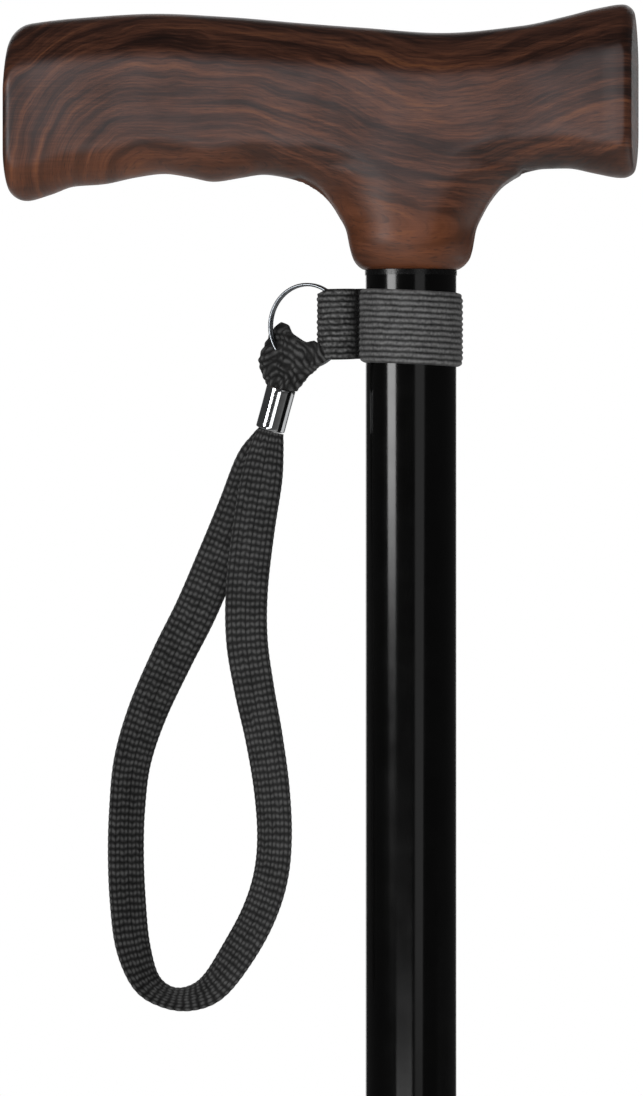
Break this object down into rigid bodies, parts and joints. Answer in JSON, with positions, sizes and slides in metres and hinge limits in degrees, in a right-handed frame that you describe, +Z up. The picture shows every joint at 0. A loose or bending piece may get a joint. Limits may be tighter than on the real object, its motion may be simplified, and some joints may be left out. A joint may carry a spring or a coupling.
{
  "type": "single point cane",
  "caption": "Walking cane with a wood T-shaped palm handle, a two-piece push-button adjustable tube, a rubber tip and a wrist strap on a webbing band.",
  "frame": {"origin": "centre of the rubber tip's foot, on the shaft's axis, at the height setting in use", "axes": "+Z up the shaft, -X towards the long side of the handle, -Y the side that the snap button faces"},
  "size_m": [0.1536, 0.038, 0.89],
  "materials": {
    "wood": "satin lacquered rosewood",
    "black_tube": "gloss black anodised and lacquered aluminium",
    "black_plastic": "moulded nylon",
    "white_plastic": "moulded acetal",
    "zinc_steel": "zinc plated",
    "spring_steel": "bright spring steel",
    "chrome": "nickel and chrome plated steel",
    "rubber": "moulded rubber",
    "webbing": "ribbed elastic webbing",
    "braid": "flat tubular braid",
    "thread": "sewing thread"
  },
  "bodies": {
    "cane_top": {"handle_grip": "wood", "neck_plug": "black_plastic", "handle_stud": "zinc_steel", "stud_washer": "zinc_steel", "stud_nut": "zinc_steel", "upper_tube": "black_tube", "collar_bush": "black_plastic", "clamp_ring": "white_plastic"},
    "collar": {"lock_collar": "black_plastic"},
    "lower_shaft": {"lower_tube": "black_tube", "tube_cap": "black_plastic", "snap_spring": "spring_steel", "rubber_tip": "rubber", "tip_washer": "zinc_steel"},
    "button": {"snap_button": "chrome"},
    "strap_band": {"webbing_band": "webbing", "band_stitching": "thread"},
    "ring": {"split_ring": "chrome"},
    "strap": {"strap_throat": "braid", "strap_ferrule": "chrome", "wrist_strap": "braid"}
  },
  "joints": [
    {"name": "height_slide", "type": "slide", "parent": "cane_top", "child": "lower_shaft", "axis": [0, 0, -1], "range_m": [-0.1016, 0.0508]},
    {"name": "button_press", "type": "slide", "parent": "lower_shaft", "child": "button", "axis": [0, 1, 0], "range_m": [0, 0.0042], "stiffness_N_per_m": 2500, "springref_m": -0.002, "deforming": ["snap_spring"]},
    {"name": "collar_turn", "type": "hinge", "parent": "cane_top", "child": "collar", "pos_m": [0, 0, 0.264], "axis": [0, 0, 1], "range_deg": [0, 270]},
    {"name": "band_turn", "type": "hinge", "parent": "cane_top", "child": "strap_band", "pos_m": [0, 0, 0.8114], "axis": [0, 0, 1], "continuous": true},
    {"name": "ring_swing", "type": "hinge", "parent": "strap_band", "child": "ring", "pos_m": [-0.02055, 0, 0.812], "axis": [0, 0, 1], "range_deg": [-2, 46]},
    {"name": "strap_swing", "type": "hinge", "parent": "ring", "child": "strap", "pos_m": [-0.02574, 0.0021, 0.812], "axis": [0.3746, 0.9272, 0], "range_deg": [0, 70]}
  ]
}
